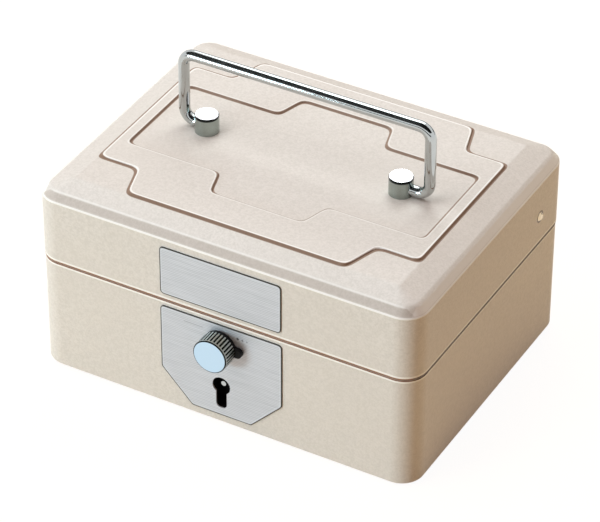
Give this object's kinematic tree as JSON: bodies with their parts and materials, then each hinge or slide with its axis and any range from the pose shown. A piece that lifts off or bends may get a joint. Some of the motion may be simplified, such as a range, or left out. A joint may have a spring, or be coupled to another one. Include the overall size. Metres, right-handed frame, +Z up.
{
  "type": "stamp box",
  "caption": "Small lockable steel stamp box with a hinged embossed lid, wire carrying handle, turning latch knob, key lock and a divided inner tray.",
  "frame": {"origin": "middle of the case in plan, on the plane that the rubber pad under the base stands on", "axes": "+X to the right along the width, +Y to the back, +Z up; the lock faces -Y"},
  "size_m": [0.1856, 0.1525, 0.1342],
  "materials": {
    "cream_paint": "cream textured enamel",
    "brushed_plate": "brushed along its length",
    "bright_nickel": "polished nickel plate",
    "knob_metal": "turned face with knurled sides",
    "zinc_steel": "zinc plated",
    "dark_steel": "blackened",
    "brass": "plain",
    "black_plastic": "matt black",
    "tray_plastic": "fine grain",
    "rubber": "matt"
  },
  "bodies": {
    "case": {"base_shell": "cream_paint", "base_hinge_leaf": "zinc_steel", "hinge_pin": "zinc_steel", "base_hinge_rivets": "cream_paint", "lock_plate": "brushed_plate", "lock_backing": "dark_steel", "lock_plate_nuts": "zinc_steel", "lock_case": "dark_steel", "lock_case_screws": "zinc_steel", "drill_pin": "bright_nickel", "bolt_spring": "zinc_steel", "tray_rests": "cream_paint", "base_pad": "rubber"},
    "lid": {"lid_shell": "cream_paint", "lid_hinge_leaf": "zinc_steel", "lid_hinge_rivets": "cream_paint", "lid_side_rivets": "bright_nickel", "name_plate": "brushed_plate", "strike_plate": "zinc_steel", "name_plate_nuts": "zinc_steel", "left_handle_post": "bright_nickel", "right_handle_post": "bright_nickel", "handle_washers": "zinc_steel"},
    "carrying_handle": {"handle": "bright_nickel"},
    "latch": {"knob": "knob_metal", "knob_index": "black_plastic", "knob_spindle": "zinc_steel", "latch_cam": "zinc_steel", "cam_nut": "zinc_steel"},
    "bolt": {"lock_bolt": "brass"},
    "inner_tray": {"tray": "tray_plastic", "tray_dividers": "tray_plastic"}
  },
  "joints": [
    {"name": "lid_hinge", "type": "hinge", "parent": "case", "child": "lid", "pos_m": [0, 0.07045, 0.0562], "axis": [-1, 0, 0], "range_deg": [0, 105]},
    {"name": "handle_pivot", "type": "hinge", "parent": "lid", "child": "carrying_handle", "pos_m": [0, 0, 0.0984], "axis": [1, 0, 0], "range_deg": [-88, 88]},
    {"name": "knob_turn", "type": "hinge", "parent": "case", "child": "latch", "pos_m": [0, 0, 0.04317], "axis": [0, -1, 0], "range_deg": [0, 90]},
    {"name": "bolt_throw", "type": "slide", "parent": "case", "child": "bolt", "axis": [0, 0, 1], "range_m": [0, 0.003]},
    {"name": "tray_lift", "type": "slide", "parent": "case", "child": "inner_tray", "axis": [0, 0, 1], "range_m": [0, 0.025]}
  ]
}
